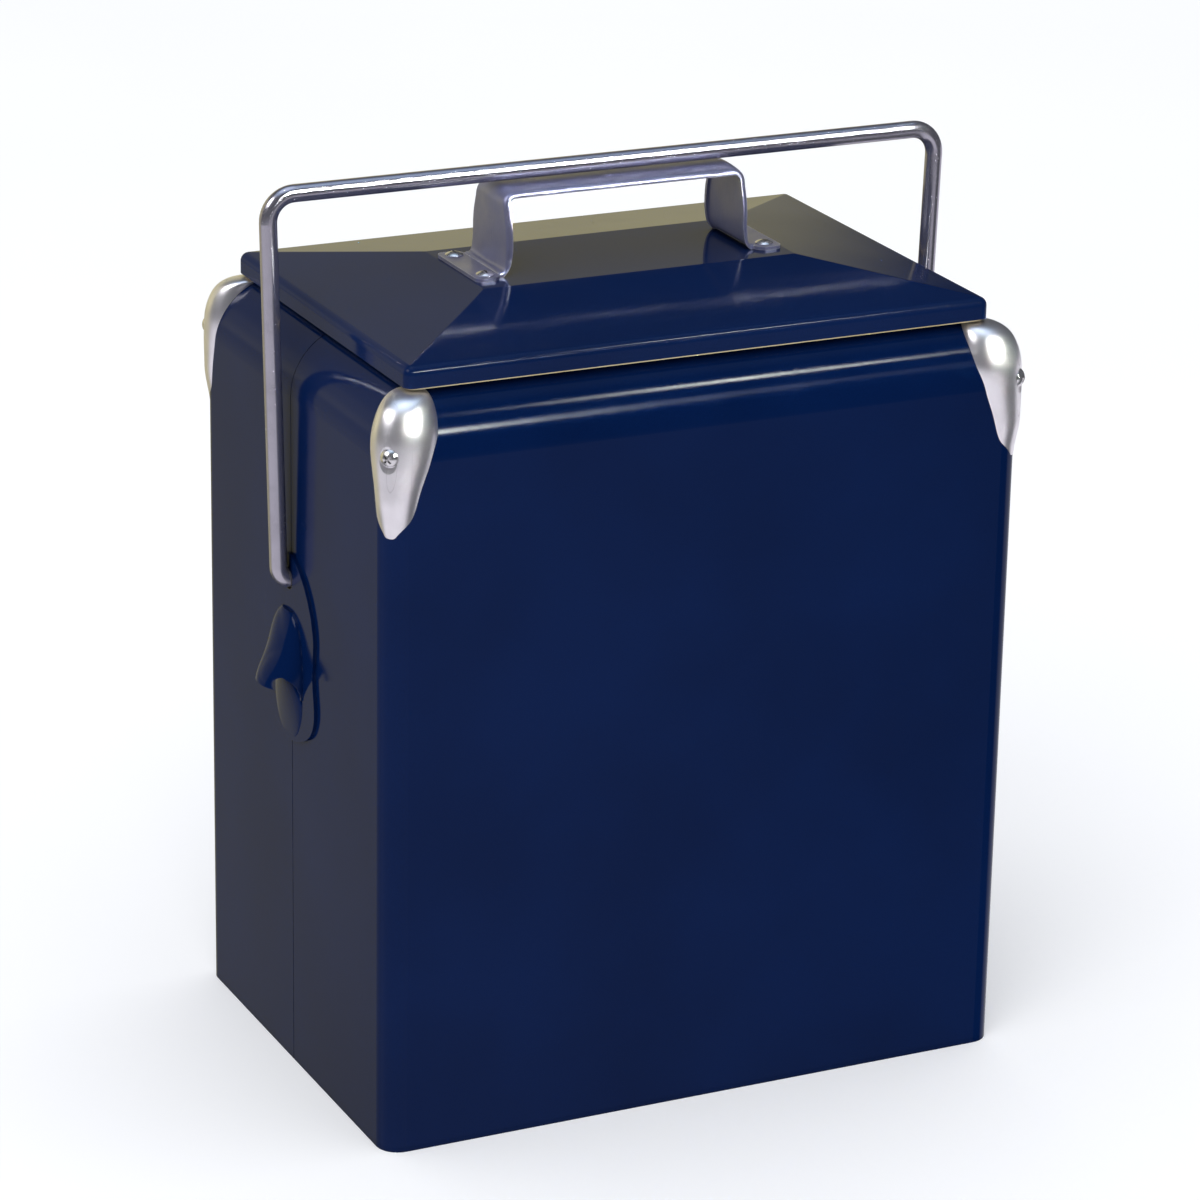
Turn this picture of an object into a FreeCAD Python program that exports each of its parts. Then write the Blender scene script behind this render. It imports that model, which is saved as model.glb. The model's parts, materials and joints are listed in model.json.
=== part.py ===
import FreeCAD, Part
import Sketcher
import math
import os

# Vintage soda cooler chest. Millimetres, +X to the right, -Y to the front, +Z up.
# The origin is on the floor under the middle of the body.

DOC = FreeCAD.newDocument("soda_cooler")
SHEET = DOC.addObject("Spreadsheet::Sheet", "Sizes")

SIZES = [
    # name, value, what it is
    ("body_width", 310, "outside of the steel body, side to side"),
    ("body_depth", 218, "outside of the steel body, front to back"),
    ("body_height", 352, "top of the shoulders"),
    ("body_corner", 10.5, "radius of the four upright corners"),
    ("shoulder", 30, "radius the four walls turn in with at the top"),
    ("skin", 1, "sheet steel of the body and the lid"),
    ("seam_gap", 0.6, "open line between the two body halves"),
    ("slack", 0.1, "clearance between nested pieces"),
    ("mouth_half_x", 123.5, "opening in the body top, half width"),
    ("mouth_half_y", 77.5, "opening in the body top, half depth"),
    ("mouth_corner", 18, "corner radius of the opening"),
    ("strip_width", 16, "seam strip behind each side seam"),
    ("strip_thick", 0.8, "seam strip sheet"),
    ("pan_rim", 14, "upturned rim of the bottom pan"),
    ("foam_inset", 2.3, "foam behind the outside of the body"),
    ("liner_wall", 2, "plastic wall of the liner"),
    ("liner_floor", 22, "underside of the liner floor"),
    ("liner_flange", 8, "flange out over the body top"),
    ("liner_flange_thick", 1.6, "flange plastic"),
    ("liner_bottom_round", 9, "inside radius at the liner floor"),
    ("gasket_thick", 1.8, "sealing ring height"),
    ("gasket_width", 4, "sealing ring width"),
    ("lid_width", 283, "outside of the lid, side to side"),
    ("lid_depth", 196, "outside of the lid, front to back"),
    ("lid_bottom", 351.8, "lower edge of the lid skirt"),
    ("lid_skirt_top", 361.5, "where the skirt turns into the roof"),
    ("lid_top", 371.6, "flat plateau on the lid"),
    ("plateau_half_x", 76.7, "plateau half width"),
    ("plateau_half_y", 32.5, "plateau half depth"),
    ("lid_round", 4, "rounding of every outside edge of the lid"),
    ("lip_drop", 0.9, "liner lip showing under the skirt"),
    ("lip_thick", 1.2, "liner lip wall"),
    ("tray_thick", 1.5, "lid liner sheet"),
    ("plug_half_x", 118.5, "lid plug that enters the liner, half width"),
    ("plug_half_y", 72.5, "lid plug, half depth"),
    ("plug_corner", 14, "lid plug corner radius"),
    ("plug_bottom", 341, "lowest face of the plug"),
    ("strap_top", 409.4, "top of the strap handle"),
    ("strap_foot_x", 60.6, "outer face of a riser"),
    ("strap_bend", 6.5, "bend from riser to grip"),
    ("strap_thick", 1.6, "aluminium sheet"),
    ("strap_roll", 2.6, "rolled long edges, outside radius"),
    ("strap_return", 3.6, "depth of the turned edges"),
    ("strap_crown", 0.8, "rise of the crown across the strap"),
    ("strap_foot_bend", 3, "bend from foot to riser"),
    ("strap_foot_level", 376.2, "where the foot bend ends"),
    ("foot_reach", 75.6, "outer end of a foot"),
    ("foot_half_y", 23, "foot half width"),
    ("foot_corner", 3, "foot corner radius"),
    ("foot_thick", 1.6, "foot thickness"),
    ("screw_x", 69.2, "lid screw place"),
    ("screw_y", 17, "lid screw place"),
    ("head_radius", 4.15, "pan head"),
    ("head_height", 2.5, "pan head"),
    ("low_head_height", 1.7, "low head of the lid screws"),
    ("shank_radius", 2, "screw thread outside"),
    ("lid_screw_length", 8, "under the head"),
    ("cap_screw_length", 14, "under the head"),
    ("recess_half", 2.1, "arm of the cross recess"),
    ("recess_thick", 0.9, "width of one arm"),
    ("recess_depth", 1.5, "cross recess depth"),
    ("backing_thick", 2, "plate under the lid skin"),
    ("backing_half_y", 21, "plate half length"),
    ("backing_half_x", 5.5, "plate half width"),
    ("pivot_level", 237, "bail pivot height"),
    ("rod", 4, "bail rod radius"),
    ("rod_end", 149.5, "inner end of the rod from the middle"),
    ("bail_top", 414.3, "centre line of the top bar"),
    ("bail_top_bend", 12, "centre line radius, top corners"),
    ("bail_low_bend", 6.2, "centre line radius, pivot ends"),
    ("bail_leg_x", 161.2, "centre line of a leg just above the pivot bend"),
    ("bail_splay", 1.42, "lean of each leg, degrees"),
    ("bushing_radius", 5, "pivot bushing sleeve"),
    ("bushing_flange", 7.5, "pivot bushing flange radius"),
    ("bushing_flange_thick", 1.2, "pivot bushing flange"),
    ("running", 0.05, "radial play of the rod in its bushing"),
    ("bushing_mouth", 4.8, "radius of the flared outer end of the bushing bore"),
    ("bushing_lead", 2, "depth of that flare"),
    ("retainer_radius", 8, "push nut on the rod end"),
    ("retainer_thick", 1, "push nut sheet"),
    ("pocket_radius", 11, "foam pocket around a pivot"),
    ("plate_thick", 1.6, "opener plate sheet"),
    ("hood_sheet", 1.5, "opener hood sheet"),
    ("claw_reach", 11.4, "claws of the opener hood, out from its plate"),
    ("lip_rise", 3.6, "hood lip above the hood's foot on the plate"),
    ("notch_rise", 9.6, "side notches of the hood above its foot"),
    ("cap_sheet", 1, "corner cap sheet"),
    ("cap_screw_level", 325.5, "height of the corner cap screws"),
    ("cap_seat", 2.75, "screw seat, in from the square corner"),
    ("dimple_depth", 3.2, "deepest point of the dimple, in from the square corner"),
    ("dimple_radius", 20, "pressed dimple"),
]


class Size:
    """A number that keeps the sheet expression it is worked out from."""

    def __init__(self, value, text):
        self.value = float(value)
        self.text = text

    def __add__(self, other):
        other = as_size(other)
        return Size(self.value + other.value, f"({self.text} + {other.text})")

    def __radd__(self, other):
        return as_size(other) + self

    def __sub__(self, other):
        other = as_size(other)
        return Size(self.value - other.value, f"({self.text} - {other.text})")

    def __rsub__(self, other):
        return as_size(other) - self

    def __mul__(self, other):
        other = as_size(other)
        return Size(self.value * other.value, f"({self.text} * {other.text})")

    def __rmul__(self, other):
        return as_size(other) * self

    def __truediv__(self, other):
        other = as_size(other)
        return Size(self.value / other.value, f"({self.text} / {other.text})")

    def __neg__(self):
        return Size(-self.value, f"(-1 * {self.text})")


def as_size(thing):
    """Turn a plain number into a Size."""
    if isinstance(thing, Size):
        return thing
    return Size(thing, f"({float(thing)})")


def fill_sheet(rows):
    """Write name, value and note of every size; return them by name."""
    sizes = {}
    for row, (name, value, note) in enumerate(rows, start=1):
        SHEET.set(f"A{row}", name)
        SHEET.set(f"B{row}", str(value))
        SHEET.set(f"C{row}", note)
        SHEET.setAlias(f"B{row}", name)
        sizes[name] = Size(value, f"Sizes.{name}")
    return sizes


# Corner cap: level, how far it reaches across the front and across the side from the corner, and
# how far it stands proud of the walls (below zero where it has curled in over the shoulder).
CAP_RINGS = [
    (289.0, 8.5, 7.5, -2.5),
    (290.5, 14.0, 12.5, -1.0),
    (293.0, 16.0, 15.0, -0.4),
    (297.0, 17.5, 16.5, 0.4),
    (303.0, 18.5, 16.5, 1.3),
    (311.0, 21.0, 18.0, 1.8),
    (320.0, 25.0, 21.0, 2.3),
    (328.0, 27.5, 23.0, 2.4),
    (334.0, 28.0, 23.0, 1.9),
    (340.0, 27.0, 22.5, 0.2),
    (345.0, 26.0, 22.0, -2.4),
    (348.5, 25.0, 22.5, -6.6),
    (350.0, 23.5, 22.0, -11.5),
    (350.6, 21.0, 20.0, -15.0),
]

# Opener hood and tongue: level, half width, reach out of the plate.
HOOD_RINGS = [
    (184.0, 16.2, 15.6),
    (190.0, 16.8, 14.4),
    (197.0, 16.8, 11.3),
    (204.0, 16.0, 8.2),
    (212.0, 14.4, 5.9),
    (217.5, 12.0, 4.1),
    (220.5, 9.4, 2.9),
    (222.6, 6.0, 1.5),
]
TONGUE_RINGS = [
    (163.5, 7.0, 0.2),
    (168.0, 12.0, 0.6),
    (176.0, 15.4, 1.5),
    (184.0, 15.2, 2.4),
    (189.0, 12.0, 2.7),
    (191.6, 7.0, 2.1),
    (192.6, 2.6, 0.8),
]

# Opener plate: half width at each height, read from the top down.
PLATE_EDGE = [
    (248.7, 0.0),
    (246.2, 9.0),
    (239.0, 18.2),
    (226.5, 26.4),
    (214.5, 29.2),
    (199.5, 28.0),
    (189.0, 29.2),
    (179.5, 29.8),
    (170.5, 25.4),
    (163.8, 14.8),
    (160.2, 0.0),
]


# Strap: distance along the run from the foot, half width, how fully the edges are turned.
STRAP_RUN = [
    (0.0, 19.0, 0.0),
    (1.6, 19.2, 0.1),
    (3.2, 19.4, 0.3),
    (4.7, 19.55, 0.5),
    (8.0, 19.75, 0.85),
    (12.0, 19.9, 1.0),
    (17.0, 19.85, 1.0),
    (22.0, 19.2, 1.0),
    (25.5, 18.2, 1.0),
    (29.0, 17.0, 1.0),
    (33.0, 16.0, 1.0),
    (38.0, 15.4, 1.0),
    (44.0, 15.15, 1.0),
    (60.0, 15.0, 1.0),
    (200.0, 15.0, 1.0),
]
STRAP_STEPS = 40


def ring_rows(stem, rings, fields):
    """Sheet rows for a stack of rings."""
    rows = []
    for number, ring in enumerate(rings, start=1):
        for field, value in zip(fields, ring):
            rows.append((f"{stem}_{field}_ring{number}", value, f"{stem} ring {number}"))
    return rows


SIZES += ring_rows("cap", CAP_RINGS, ("level", "front", "side", "proud"))
SIZES += ring_rows("hood", HOOD_RINGS, ("level", "half", "reach"))
SIZES += ring_rows("tongue", TONGUE_RINGS, ("level", "half", "reach"))
SIZES += ring_rows("strap", STRAP_RUN, ("along", "half", "turned"))
SIZES += ring_rows("edge", PLATE_EDGE, ("level", "half"))
S = fill_sheet(SIZES)
DOC.recompute()

ZERO = as_size(0)
half_x = S["body_width"] / 2
half_y = S["body_depth"] / 2
FAR = as_size(400)

PLANES = {
    "XY": FreeCAD.Rotation(),
    "XZ": FreeCAD.Rotation(FreeCAD.Vector(1, 0, 0), 90),
    "YZ": FreeCAD.Rotation(FreeCAD.Vector(1, 1, 1), 120),
}


# ---------------------------------------------------------------- helpers

def bind(thing, **sizes):
    """Tie properties of an object to the sheet."""
    for name, size in sizes.items():
        thing.setExpression(name, as_size(size).text)


def place(thing, x=ZERO, y=ZERO, z=ZERO):
    """Tie the position of an object to the sheet."""
    for axis, size in zip("xyz", (x, y, z)):
        thing.setExpression(f"Placement.Base.{axis}", as_size(size).text)


def block(name, x0, x1, y0, y1, z0, z1):
    """A box between two corners."""
    made = DOC.addObject("Part::Box", name)
    bind(made, Length=x1 - x0, Width=y1 - y0, Height=z1 - z0)
    place(made, x0, y0, z0)
    return made


def cylinder(name, radius, length, start, direction):
    """A round bar from a start point along a direction."""
    made = DOC.addObject("Part::Cylinder", name)
    turn = FreeCAD.Rotation(FreeCAD.Vector(0, 0, 1), FreeCAD.Vector(*direction))
    made.Placement = FreeCAD.Placement(FreeCAD.Vector(), turn)
    bind(made, Radius=radius, Height=length)
    place(made, *start)
    return made


def pin(sketch, geometry, point, corner):
    """Hold one sketch point at its two coordinates."""
    for kind, axis, size in (("DistanceX", -2, corner[0]), ("DistanceY", -1, corner[1])):
        size = as_size(size)
        if size is ZERO or size.value == 0:
            sketch.addConstraint(Sketcher.Constraint("PointOnObject", geometry, point, axis))
            continue
        index = sketch.addConstraint(Sketcher.Constraint(kind, geometry, point, size.value))
        sketch.setExpression(f"Constraints[{index}]", size.text)


def arc_between(start, finish, radius):
    """Arc from start to finish; a positive radius turns left."""
    chord = finish - start
    offset = math.sqrt(max(radius * radius - chord.Length ** 2 / 4, 0))
    left = FreeCAD.Vector(-chord.y, chord.x, 0).normalize()
    side = 1 if radius > 0 else -1
    centre = (start + finish) * 0.5 + left * offset * side
    first, last = (start, finish) if radius > 0 else (finish, start)
    from_angle = math.atan2(first.y - centre.y, first.x - centre.x)
    to_angle = math.atan2(last.y - centre.y, last.x - centre.x)
    if to_angle < from_angle:
        to_angle += 2 * math.pi
    circle = Part.Circle(centre, FreeCAD.Vector(0, 0, 1), abs(radius))
    return Part.ArcOfCircle(circle, from_angle, to_angle)


def draw(sketch, corners):
    """Closed outline; a third entry is the radius of the arc that leads to that corner."""
    pieces = []
    points = [FreeCAD.Vector(as_size(c[0]).value, as_size(c[1]).value, 0) for c in corners]
    for index, start in enumerate(points):
        after = (index + 1) % len(points)
        radius = corners[after][2] if len(corners[after]) > 2 else None
        if radius is None:
            shape, first, last = Part.LineSegment(start, points[after]), 1, 2
        else:
            shape = arc_between(start, points[after], radius.value)
            first, last = (1, 2) if radius.value > 0 else (2, 1)
        pieces.append((sketch.addGeometry(shape, False), first, last, radius))
    for index, (piece, first, last, radius) in enumerate(pieces):
        before = pieces[index - 1]
        sketch.addConstraint(Sketcher.Constraint("Coincident", before[0], before[2], piece, first))
        pin(sketch, piece, first, corners[index])
        if radius is not None:
            size = radius if radius.value > 0 else -radius
            row = sketch.addConstraint(Sketcher.Constraint("Radius", piece, size.value))
            sketch.setExpression(f"Constraints[{row}]", size.text)


def sketch_on(name, plane, loops, level=ZERO):
    """Free sketch on a world plane, lifted by level when it lies flat."""
    made = DOC.addObject("Sketcher::SketchObject", name)
    made.Placement = FreeCAD.Placement(FreeCAD.Vector(), PLANES[plane])
    if plane == "XY":
        place(made, z=level)
    for loop in loops:
        draw(made, loop)
    return made


def extrude(name, sketch, length, both_ways=False):
    """Solid from a sketch along its normal."""
    made = DOC.addObject("Part::Extrusion", name)
    made.Base = sketch
    made.DirMode = "Normal"
    made.Solid = True
    made.Symmetric = both_ways
    bind(made, LengthFwd=length)
    return made


def rounded(across, deep, radius):
    """Corners of a rounded rectangle given by half sizes."""
    return [
        (across - radius, -deep),
        (across, radius - deep, radius),
        (across, deep - radius),
        (across - radius, deep, radius),
        (radius - across, deep),
        (-across, deep - radius, radius),
        (-across, radius - deep),
        (radius - across, -deep, radius),
    ]


def slab(name, across, deep, radius, bottom, top):
    """Rounded rectangular block between two levels."""
    sketch = sketch_on(name + "_plan", "XY", [rounded(across, deep, radius)], bottom)
    return extrude(name, sketch, top - bottom)


def cut(name, base, *tools):
    """Base with every tool taken away."""
    made = base
    for number, tool in enumerate(tools):
        step = DOC.addObject("Part::Cut", name if number == len(tools) - 1 else f"{name}_cut")
        step.Base = made
        step.Tool = tool
        made = step
    return made


def common(name, *shapes):
    """What all shapes share."""
    made = DOC.addObject("Part::MultiCommon", name)
    made.Shapes = list(shapes)
    return made


def fuse(name, *shapes):
    """All shapes as one."""
    made = DOC.addObject("Part::MultiFuse", name)
    made.Shapes = list(shapes)
    made.Refine = True
    return made


def together(name, *shapes):
    """Separate pieces kept in one object."""
    made = DOC.addObject("Part::Compound", name)
    made.Links = list(shapes)
    return made


def mirror(name, source, normal):
    """Mirror image through the origin."""
    made = DOC.addObject("Part::Mirroring", name)
    made.Source = source
    made.Normal = FreeCAD.Vector(*normal)
    return made


def four_ways(name, source):
    """The piece and its images in the other three quarters."""
    across = mirror(name + "_across", source, (1, 0, 0))
    behind = mirror(name + "_behind", source, (0, 1, 0))
    opposite = mirror(name + "_opposite", across, (0, 1, 0))
    return together(name, source, across, behind, opposite)


def new_body(label):
    """Empty body for sketched features."""
    made = DOC.addObject("PartDesign::Body", label)
    made.Label = label
    return made


def body_sketch(body, role, loops, level=ZERO):
    """Sketch on one of the body's own origin planes."""
    sketch = body.newObject("Sketcher::SketchObject", body.Name + "_sketch")
    plane = [item for item in body.Origin.OriginFeatures if item.Role == role][0]
    sketch.AttachmentSupport = [(plane, "")]
    sketch.MapMode = "FlatFace"
    sketch.setExpression("AttachmentOffset.Base.z", as_size(level).text)
    for loop in loops:
        draw(sketch, loop)
    return sketch


def pad(body, loops, bottom, top):
    """Material between two levels."""
    made = body.newObject("PartDesign::Pad", body.Name + "_pad")
    made.Profile = body_sketch(body, "XY_Plane", loops, bottom)
    bind(made, Length=top - bottom)
    body.Tip = made
    return made


def pocket(body, loops, bottom, top):
    """Material taken away between two levels."""
    made = body.newObject("PartDesign::Pocket", body.Name + "_pocket")
    made.Profile = body_sketch(body, "XY_Plane", loops, top)
    bind(made, Length=top - bottom)
    body.Tip = made
    return made


def soften(body, radius, wanted):
    """Round the edges of the tip that the test picks."""
    DOC.recompute()
    before = body.Tip
    edges = before.Shape.Edges
    names = [f"Edge{n}" for n, edge in enumerate(edges, start=1) if wanted(edge)]
    made = body.newObject("PartDesign::Fillet", body.Name + "_round")
    made.Base = (before, names)
    bind(made, Radius=radius)
    body.Tip = made
    return made


def flat_at(level):
    """Test for edges that lie in one horizontal plane."""
    def test(edge):
        box = edge.BoundBox
        return abs(box.ZMin - level.value) < 1e-4 and abs(box.ZMax - level.value) < 1e-4
    return test


# ---------------------------------------------------------------- body skin

def wall_profile(half, inset, bottom):
    """Wall outline with both shoulders, as seen along one axis."""
    top = S["body_height"] - inset
    turn = S["shoulder"] - inset
    edge = half - inset
    spring = S["body_height"] - S["shoulder"]
    return [
        (-edge, bottom),
        (edge, bottom),
        (edge, spring),
        (half - S["shoulder"], top, turn),
        (S["shoulder"] - half, top),
        (-edge, spring, turn),
    ]


def body_form(name, inset, bottom):
    """Solid form of the body, moved in from the outside by inset."""
    top = S["body_height"] - inset
    plan = slab(name + "_plan", half_x - inset, half_y - inset, S["body_corner"] - inset,
                bottom, top)
    front = sketch_on(name + "_front", "XZ", [wall_profile(half_x, inset, bottom)])
    side = sketch_on(name + "_side", "YZ", [wall_profile(half_y, inset, bottom)])
    along_y = extrude(name + "_front_solid", front, S["body_depth"] * 2, True)
    along_x = extrude(name + "_side_solid", side, S["body_width"] * 2, True)
    return common(name, plan, along_y, along_x)


def side_hole(name, radius, outer, inner):
    """Pair of round tools on the pivot axis, one per side."""
    start = (-outer, ZERO, S["pivot_level"])
    left = cylinder(name + "_left", radius, outer - inner, start, (1, 0, 0))
    right = mirror(name + "_right", left, (1, 0, 0))
    return together(name, left, right)


def corner_bar(name, radius, start_in, length):
    """Round bar into the front left corner, from a distance in from the square corner."""
    reach = start_in / math.sqrt(2)
    start = (reach - half_x, reach - half_y, S["cap_screw_level"])
    return cylinder(name, radius, length, start, (1, 1, 0))


body_outside = body_form("body_outside", ZERO, ZERO)
body_inside = body_form("body_inside", S["skin"], as_size(-5))
body_mouth = slab("body_mouth", S["mouth_half_x"], S["mouth_half_y"], S["mouth_corner"],
                  S["body_height"] - 40, S["body_height"] + 5)
bushing_hole = side_hole("bushing_hole", S["bushing_radius"] + S["running"],
                         half_x + 5, half_x - 8)
screw_hole_bar = corner_bar("screw_hole_bar", S["shank_radius"] + S["running"],
                            as_size(-10), as_size(34))
screw_holes = four_ways("screw_holes", screw_hole_bar)
skin_whole = cut("skin_whole", body_outside, body_inside, body_mouth, bushing_hole, screw_holes)

front_half = block("front_half", -FAR, FAR, -FAR, -S["seam_gap"] / 2, as_size(-10), FAR)
back_half = block("back_half", -FAR, FAR, S["seam_gap"] / 2, FAR, as_size(-10), FAR)
shell_front = common("shell_front", skin_whole, front_half)
shell_back = common("shell_back", skin_whole, back_half)

strip_outer = half_x - S["skin"]
strip_top = S["body_height"] - S["shoulder"] - 2
strip_blank = block("strip_blank", -strip_outer, S["strip_thick"] - strip_outer,
                    -S["strip_width"] / 2, S["strip_width"] / 2, S["pan_rim"] + 1, strip_top)
seam_strip_left = cut("seam_strip_left", strip_blank, bushing_hole)
seam_strip_right = mirror("seam_strip_right", seam_strip_left, (1, 0, 0))


# ---------------------------------------------------------------- bottom pan

def build_bottom_pan():
    """Flat tray that closes the body, its rim inside the skin."""
    body = new_body("bottom_pan")
    gap = S["skin"] + S["slack"]
    corner = S["body_corner"] - gap
    outer = rounded(half_x - gap, half_y - gap, corner)
    step = gap + S["skin"]
    inner = rounded(half_x - step, half_y - step, S["body_corner"] - step)
    pad(body, [outer], ZERO, S["pan_rim"])
    pocket(body, [inner], S["skin"], S["pan_rim"])
    return body


bottom_pan = build_bottom_pan()

# ---------------------------------------------------------------- body foam

foam_bottom = S["skin"] + S["slack"]
liner_half_x = S["mouth_half_x"] - 1
liner_half_y = S["mouth_half_y"] - 1
liner_corner = S["mouth_corner"] - 1
foam_outside = body_form("foam_outside", S["foam_inset"], foam_bottom)
foam_hollow = slab("foam_hollow", liner_half_x + 0.3, liner_half_y + 0.3, liner_corner + 0.3,
                   S["liner_floor"] - 0.3, S["body_height"] + 5)
pivot_pocket = side_hole("pivot_pocket", S["pocket_radius"], half_x, S["rod_end"] - 2)
screw_pocket_bar = corner_bar("screw_pocket_bar", S["shank_radius"] + 1,
                              ZERO, S["cap_seat"] + S["cap_screw_length"] + 1)
screw_pockets = four_ways("screw_pockets", screw_pocket_bar)
body_insulation = cut("body_insulation", foam_outside, foam_hollow, pivot_pocket, screw_pockets)


# ---------------------------------------------------------------- liner tub

def build_liner():
    """Moulded tub with a flange that rests on the body top."""
    body = new_body("inner_liner")
    top = S["body_height"] + S["liner_flange_thick"]
    wall = S["liner_wall"]
    reach = S["liner_flange"]
    tub = rounded(liner_half_x, liner_half_y, liner_corner)
    flange = rounded(liner_half_x + reach, liner_half_y + reach, liner_corner + reach)
    hollow = rounded(liner_half_x - wall, liner_half_y - wall, liner_corner - wall)
    pad(body, [tub], S["liner_floor"], top)
    pad(body, [flange], S["body_height"], top)
    soften(body, S["liner_flange_thick"] / 4, flat_at(top))
    pocket(body, [hollow], S["liner_floor"] + wall, top + 1)
    soften(body, S["liner_bottom_round"], flat_at(S["liner_floor"] + wall))
    return body


inner_liner = build_liner()


# ---------------------------------------------------------------- corner caps

def cap_stack(name, shrink):
    """Solid form of the front left cap, made smaller by shrink."""
    rings = []
    last = len(CAP_RINGS)
    for number in range(1, last + 1):
        ring = DOC.addObject("Part::Ellipse", f"{name}_ring{number}")
        level = S[f"cap_level_ring{number}"]
        if number >= last - 3:
            level = level - shrink
        front, side = S[f"cap_front_ring{number}"], S[f"cap_side_ring{number}"]
        proud = S[f"cap_proud_ring{number}"]
        bind(ring, MajorRadius=(front + proud) / 2 - shrink, MinorRadius=(side + proud) / 2 - shrink)
        place(ring, (front - proud) / 2 - half_x, (side - proud) / 2 - half_y, level)
        rings.append(ring)
    loft = DOC.addObject("Part::Loft", name)
    loft.Sections = rings
    loft.Solid = True
    loft.Ruled = False
    return loft


def dimple(name, extra):
    """Ball that presses the dimple, larger by extra."""
    ball = DOC.addObject("Part::Sphere", name)
    bind(ball, Radius=S["dimple_radius"] + extra)
    reach = (S["dimple_depth"] - S["dimple_radius"]) / math.sqrt(2)
    place(ball, reach - half_x, reach - half_y, S["cap_screw_level"])
    return ball


cap_outer = cut("cap_outer", cap_stack("cap_form", ZERO), dimple("cap_dimple", ZERO))
cap_inner = cut("cap_inner", cap_stack("cap_hollow", S["cap_sheet"]),
                dimple("cap_dimple_inner", S["cap_sheet"]))
body_clear = body_form("body_clear", -S["slack"] / 2, as_size(-5))
cap_blank = cut("cap_blank", cap_outer, cap_inner, body_clear, screw_hole_bar)
corner_cap_front_left = cap_blank
corner_cap_front_right = mirror("corner_cap_front_right", cap_blank, (1, 0, 0))
corner_cap_back_left = mirror("corner_cap_back_left", cap_blank, (0, 1, 0))
corner_cap_back_right = mirror("corner_cap_back_right", corner_cap_front_right, (0, 1, 0))


# ---------------------------------------------------------------- screws

def build_screw(name, length, height):
    """Pan head screw standing on the XY plane, head up, with a cross recess."""
    ball_radius = S["head_radius"] * S["head_radius"] / height * 0.72
    head = cylinder(name + "_head", S["head_radius"], height, (ZERO, ZERO, ZERO), (0, 0, 1))
    ball = DOC.addObject("Part::Sphere", name + "_ball")
    bind(ball, Radius=ball_radius)
    place(ball, z=height - ball_radius)
    shank = cylinder(name + "_shank", S["shank_radius"], length, (ZERO, ZERO, -length), (0, 0, 1))
    arm = S["recess_half"]
    thin = S["recess_thick"] / 2
    low = height - S["recess_depth"]
    high = height + 1
    one = block(name + "_slot_one", -arm, arm, -thin, thin, low, high)
    two = block(name + "_slot_two", -thin, thin, -arm, arm, low, high)
    domed = common(name + "_domed", head, ball)
    solid = fuse(name + "_solid", domed, shank)
    return cut(name, solid, one, two)


def moved(name, source, turn, x, y, z):
    """Copy of a piece, turned and set in place."""
    holder = DOC.addObject("Part::Compound", name)
    holder.Links = [source]
    holder.Placement = FreeCAD.Placement(FreeCAD.Vector(), turn)
    place(holder, x, y, z)
    return holder


cap_screw = build_screw("cap_screw", S["cap_screw_length"], S["head_height"])
outward = FreeCAD.Rotation(FreeCAD.Vector(0, 0, 1), FreeCAD.Vector(-1, -1, 0))
seat_reach = S["cap_seat"] / math.sqrt(2)
cap_screw_set = moved("cap_screw_set", cap_screw, outward,
                      seat_reach - half_x, seat_reach - half_y, S["cap_screw_level"])
corner_cap_screws = four_ways("corner_cap_screws", cap_screw_set)


# ---------------------------------------------------------------- opener plates

plate_face = half_x + S["plate_thick"]


def plate_outline():
    """Smooth closed face from the sheet's plate rows, standing on the left wall."""
    points = []
    count = len(PLATE_EDGE)
    for number in range(1, count + 1):
        half = float(getattr(SHEET, f"edge_half_ring{number}"))
        level = float(getattr(SHEET, f"edge_level_ring{number}"))
        points.append(FreeCAD.Vector(-half_x.value, half, level))
    for point in list(reversed(points))[1:-1]:
        points.append(FreeCAD.Vector(point.x, -point.y, point.z))
    curve = Part.BSplineCurve()
    curve.interpolate(points, PeriodicFlag=True)
    made = DOC.addObject("Part::Feature", "plate_outline")
    made.Shape = Part.Face(Part.Wire([curve.toShape()]))
    return made


def oval_stack(name, stem, count, shrink):
    """Smooth form through upright rows of ovals centred on the plate face."""
    rings = []
    for number in range(1, count + 1):
        ring = DOC.addObject("Part::Ellipse", f"{name}_ring{number}")
        ring.Placement = FreeCAD.Placement(FreeCAD.Vector(), FreeCAD.Rotation(90, 0, 0))
        bind(ring, MajorRadius=S[f"{stem}_half_ring{number}"] - shrink,
             MinorRadius=S[f"{stem}_reach_ring{number}"] - shrink)
        level = S[f"{stem}_level_ring{number}"]
        place(ring, -plate_face, ZERO, level)
        rings.append(ring)
    loft = DOC.addObject("Part::Loft", name)
    loft.Sections = rings
    loft.Solid = True
    return loft


plate_sheet = DOC.addObject("Part::Extrusion", "plate_sheet")
plate_sheet.Base = plate_outline()
plate_sheet.DirMode = "Custom"
plate_sheet.Dir = FreeCAD.Vector(-1, 0, 0)
plate_sheet.Solid = True
bind(plate_sheet, LengthFwd=S["plate_thick"])

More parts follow.
